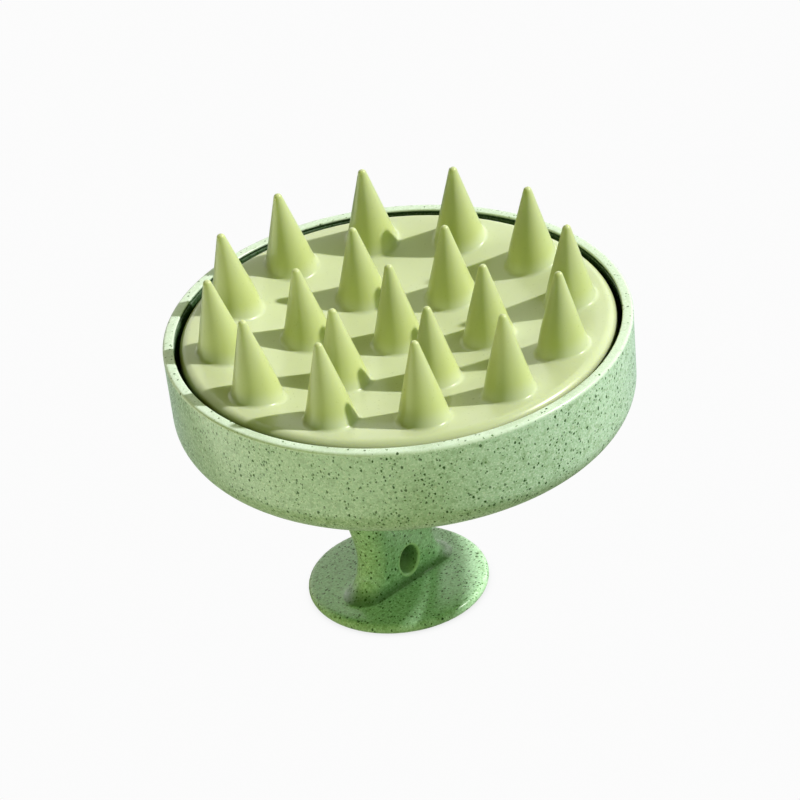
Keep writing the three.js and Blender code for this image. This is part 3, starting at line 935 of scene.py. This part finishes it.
def soft_silicone(name):
    """Satin silicone that lets some light through, so its shaded sides turn olive, not grey."""
    material = bpy.data.materials.new(name)
    nodes = Nodes(material)
    place = nodes.place()
    base = nodes.mix(nodes.ramp(nodes.noise(place, 45.0, 3.0), 0.35, 0.7), *SILICONE)
    axes = nodes.add("ShaderNodeSeparateXYZ", {"Vector": place})
    x, y, z = (axes.outputs[axis] for axis in ("X", "Y", "Z"))
    square = nodes.math("ADD", nodes.math("MULTIPLY", x, x), nodes.math("MULTIPLY", y, y))
    dish_height = nodes.math("MULTIPLY_ADD", square, DISH_CURVE, RIM - DISH_DEPTH)
    rise = nodes.math("SUBTRACT", z, dish_height)
    pin = nodes.mix(nodes.ramp(rise, 3 * MM, 12 * MM), PIN_FOOT, PIN_TOP)
    base = nodes.mix(nodes.ramp(rise, 0.3 * MM, 3 * MM), base, pin)
    # Painted shade: the silicone turns dark olive in hollows, round the pins' feet and in the gap.
    base = nodes.mix(hollow_shade(nodes, 4 * MM), base, SILICONE_HOLLOW_SHADE)
    grain = nodes.noise(place, 1600.0, 3.0, 0.6)
    nodes.finish(base, nodes.math("MULTIPLY_ADD", grain, 0.1, 0.24), grain, 0.1, 0.04 * MM)
    nodes.put(nodes.surface.inputs["Specular IOR Level"], 0.4)
    nodes.scatter(0.35, (1.0, 1.1, 0.15), 1.6 * MM)
    return material


def plain_plastic(name):
    """Off-white moulded plastic with faint flow marks."""
    material = bpy.data.materials.new(name)
    nodes = Nodes(material)
    place = nodes.place()
    base = nodes.mix(nodes.ramp(nodes.noise(place, 90.0, 3.0), 0.3, 0.7), *OFF_WHITE)
    grain = nodes.noise(place, 1200.0, 2.0)
    nodes.finish(base, nodes.math("MULTIPLY_ADD", grain, 0.2, 0.35), grain, 0.15, 0.04 * MM)
    return material


def zinc_steel(name):
    """Zinc-plated screw steel with a fine grain and slight tarnish."""
    material = bpy.data.materials.new(name)
    nodes = Nodes(material)
    place = nodes.place()
    tarnish = nodes.noise(place, 500.0, 4.0, 0.6)
    base = nodes.mix(nodes.ramp(tarnish, 0.4, 0.7), *ZINC)
    rough = nodes.math("MULTIPLY_ADD", tarnish, 0.25, 0.2)
    nodes.finish(base, rough, nodes.noise(place, 3000.0), 0.2, 0.02 * MM)
    nodes.put(nodes.surface.inputs["Metallic"], 1.0)
    return material


def paint(piece, material):
    piece.data.materials.clear()
    piece.data.materials.append(material)


# ---- Stage, light and camera ----

def picture_direction(right, away, up):
    """A direction given along the picture's right, away from the camera along the floor, and up."""
    side = camera_right()
    return (side * right + Vector((-side.y, side.x, 0)) * away + Vector((0, 0, up))).normalized()


def build_stage():
    """A pale floor: white to the eye, with its own glow in reflections, and clear from below.

    It throws only little light back.
    """
    mesh = bpy.data.meshes.new("floor")
    corners = [(x * FLOOR_HALF, y * FLOOR_HALF, -FLOOR_GAP) for x, y in ((-1, -1), (1, -1), (1, 1), (-1, 1))]
    mesh.from_pydata(corners, [], [(0, 1, 2, 3)])
    floor = bpy.data.objects.new("floor", mesh)
    bpy.context.scene.collection.objects.link(floor)
    paint(floor, floor_paper("floor_paper"))
    floor.visible_shadow = False


def floor_paper(name):
    material = bpy.data.materials.new(name)
    nodes = Nodes(material)
    rays = nodes.add("ShaderNodeLightPath").outputs
    near = nodes.add("ShaderNodeAmbientOcclusion", {"Distance": CONTACT_REACH}, samples=8)
    seen = nodes.mix(nodes.ramp(near.outputs["AO"], 0.0, 0.9), (*CONTACT_SHADE, 1), (*STUDIO_WHITE, 1))
    place = nodes.place()
    reach = nodes.vector("DOT_PRODUCT", place, picture_direction(*GLOW_LEFT_TOWARDS))
    far = nodes.mix(nodes.ramp(reach, *GLOW_LEFT_RANGE), (*GLOW_RIGHT, 1), (*GLOW_LEFT, 1))
    radius = nodes.vector("LENGTH", place)
    mirrored = nodes.mix(nodes.ramp(radius, *GLOW_NEAR_RANGE), (*GLOW_NEAR, 1), far)
    tone = nodes.mix(rays["Is Camera Ray"], mirrored, seen)
    glow = nodes.add("ShaderNodeEmission", {"Color": tone, "Strength": 1.0})
    nodes.put(nodes.surface.inputs["Base Color"], (*FLOOR_TONE, 1))
    nodes.put(nodes.surface.inputs["Roughness"], 0.9)
    both = nodes.add("ShaderNodeMixShader", {0: rays["Is Diffuse Ray"], 1: glow.outputs[0]})
    nodes.put(both.inputs[2], nodes.surface.outputs[0])
    from_below = nodes.add("ShaderNodeNewGeometry").outputs["Backfacing"]
    clear = nodes.add("ShaderNodeBsdfTransparent")
    paper = nodes.add("ShaderNodeMixShader", {0: from_below, 1: both.outputs[0], 2: clear.outputs[0]})
    nodes.put(nodes.tree.nodes["Material Output"].inputs["Surface"], paper.outputs[0])
    material.cycles.emission_sampling = "NONE"
    return material


def build_world():
    """White to the eye, plain in reflections, and broad soft panels for matt surfaces."""
    world = bpy.data.worlds.new("studio")
    nodes = Nodes(world)
    world.cycles.sampling_method = "NONE"
    direction = nodes.add("ShaderNodeTexCoord").outputs["Generated"]
    soft = (0.0, 0.0, 0.0)
    for towards, light in PANELS:
        facing = nodes.vector("DOT_PRODUCT", direction, picture_direction(*towards))
        spread = nodes.add("ShaderNodeVectorMath", {0: light}, operation="SCALE")
        nodes.put(spread.inputs["Scale"], nodes.math("MAXIMUM", facing, 0.0))
        soft = nodes.vector("ADD", spread.outputs[0], soft)
    away = nodes.vector("DOT_PRODUCT", direction, picture_direction(0, 1, 0))
    mirrored = nodes.mix(nodes.ramp(away, 0.0, 0.6), (*MIRRORED_FRONT, 1), (*MIRRORED_BACK, 1))
    rays = nodes.add("ShaderNodeLightPath").outputs
    lighting = nodes.mix(rays["Is Diffuse Ray"], mirrored, soft)
    shown = nodes.mix(rays["Is Camera Ray"], lighting, (*STUDIO_WHITE, 1))
    nodes.put(nodes.tree.nodes["Background"].inputs["Color"], shown)
    bpy.context.scene.world = world


def add_sun(name, towards, light, angle):
    lamp = bpy.data.lights.new(name, "SUN")
    lamp.energy = max(light)
    lamp.color = [part / max(light) for part in light]
    lamp.angle = math.radians(angle)
    sun = bpy.data.objects.new(name, lamp)
    bpy.context.scene.collection.objects.link(sun)
    sun.rotation_mode = "QUATERNION"
    sun.rotation_quaternion = towards.to_track_quat("Z", "Y")
    return sun


def build_flag():
    """A strip that shades the finger disc from the key light further out than the cup's own shadow.

    Only shadow rays meet it. It starts on the ray that grazes the cup, so the cup stays lit.
    """
    run = 1 / math.tan(math.radians(KEY_ELEVATION))
    graze_radius = CUP_RADIUS - DRAFT - CORNER * (1 - math.sin(math.radians(KEY_ELEVATION)))
    graze_height = CUP_BOTTOM + CORNER * (1 - math.cos(math.radians(KEY_ELEVATION)))
    inner = graze_radius + (FLAG_HEIGHT - graze_height) * run
    outer = FLAG_SHADE_END + (FLAG_HEIGHT - DISC_THICKNESS) * run
    right = camera_right()
    middle = math.atan2(right.y, right.x)
    steps = 32
    strip = Shell()
    for k in range(steps + 1):
        turn = middle + math.radians(FLAG_SWEEP) * (k / steps - 0.5)
        for radius in (inner, outer):
            strip.point((radius * math.cos(turn), radius * math.sin(turn), FLAG_HEIGHT))
    strip.faces = [(2 * k, 2 * k + 1, 2 * k + 3, 2 * k + 2) for k in range(steps)]
    flag = strip.make("flag")
    flag.visible_camera = False
    flag.visible_diffuse = False
    flag.visible_glossy = False
    flag.visible_transmission = False
    cloth = bpy.data.materials.new("flag_cloth")
    cloth.use_nodes = True
    paint(flag, cloth)


def build_lights():
    """A fairly hard key light from the right, and a fill from a low panel at the left.

    The fill comes from below the horizon. The floor casts no shadow, so it reaches the cup.
    """
    build_world()
    build_flag()
    rise = math.radians(KEY_ELEVATION)
    add_sun("key", picture_direction(math.cos(rise), 0, math.sin(rise)), KEY_LIGHT, KEY_ANGLE)
    fill = add_sun("fill", picture_direction(*FILL_TOWARDS), FILL_LIGHT, FILL_ANGLE)
    fill.data.cycles.use_multiple_importance_sampling = False
    fill.visible_glossy = False


def build_camera():
    turn = math.radians(VIEW_TURN)
    rise = math.radians(VIEW_ELEVATION)
    back = Vector((math.sin(turn) * math.cos(rise), -math.cos(turn) * math.cos(rise), math.sin(rise)))
    rim_centre = Vector((0, 0, RIM))
    place = rim_centre + back * VIEW_DISTANCE
    aim = rim_centre - Vector((0, 0, AIM_BELOW_RIM)) - camera_right() * AIM_LEFT
    back = (place - aim).normalized()
    right = Vector((0, 0, 1)).cross(back).normalized()
    up = back.cross(right)
    roll = math.radians(VIEW_ROLL)
    rolled_right = right * math.cos(roll) - up * math.sin(roll)
    rolled_up = up * math.cos(roll) + right * math.sin(roll)
    lens = bpy.data.cameras.new("camera")
    lens.lens = VIEW_LENS
    lens.sensor_width = 36
    lens.clip_start = 0.05
    lens.clip_end = 20
    camera = bpy.data.objects.new("camera", lens)
    bpy.context.scene.collection.objects.link(camera)
    axes = Matrix((rolled_right, rolled_up, back)).transposed().to_4x4()
    camera.matrix_world = Matrix.Translation(place) @ axes
    bpy.context.scene.camera = camera


# ---- Assembly ----

def keep_node(name, material):
    """A CAD node that stays in view: smooth shading and a finished material."""
    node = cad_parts[name]
    node.data.shade_smooth()
    node.data.set_sharp_from_angle(angle=math.radians(35))
    paint(node, material)


def stand_for(piece, node, body, material):
    paint(piece, material)
    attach(piece, body)
    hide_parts(node)


cup_plastic = speckled_plastic("cup_plastic")
handle_plastic = speckled_plastic("handle_plastic", HANDLE_TINT)
cup = build_cup()
handle = build_handle()
pad = build_pad()
stand_for(cup, "cup_shell", "shell", cup_plastic)
stand_for(handle, "handle", "shell", handle_plastic)
stand_for(pad, "silicone_pad", "massage_head", soft_silicone("silicone"))
keep_node("pad_carrier", plain_plastic("carrier_plastic"))
for screw_node in ("handle_screw_1", "handle_screw_2"):
    keep_node(screw_node, zinc_steel("zinc_steel"))

build_stage()
build_lights()
build_camera()
bpy.context.scene.view_settings.view_transform = "Standard"
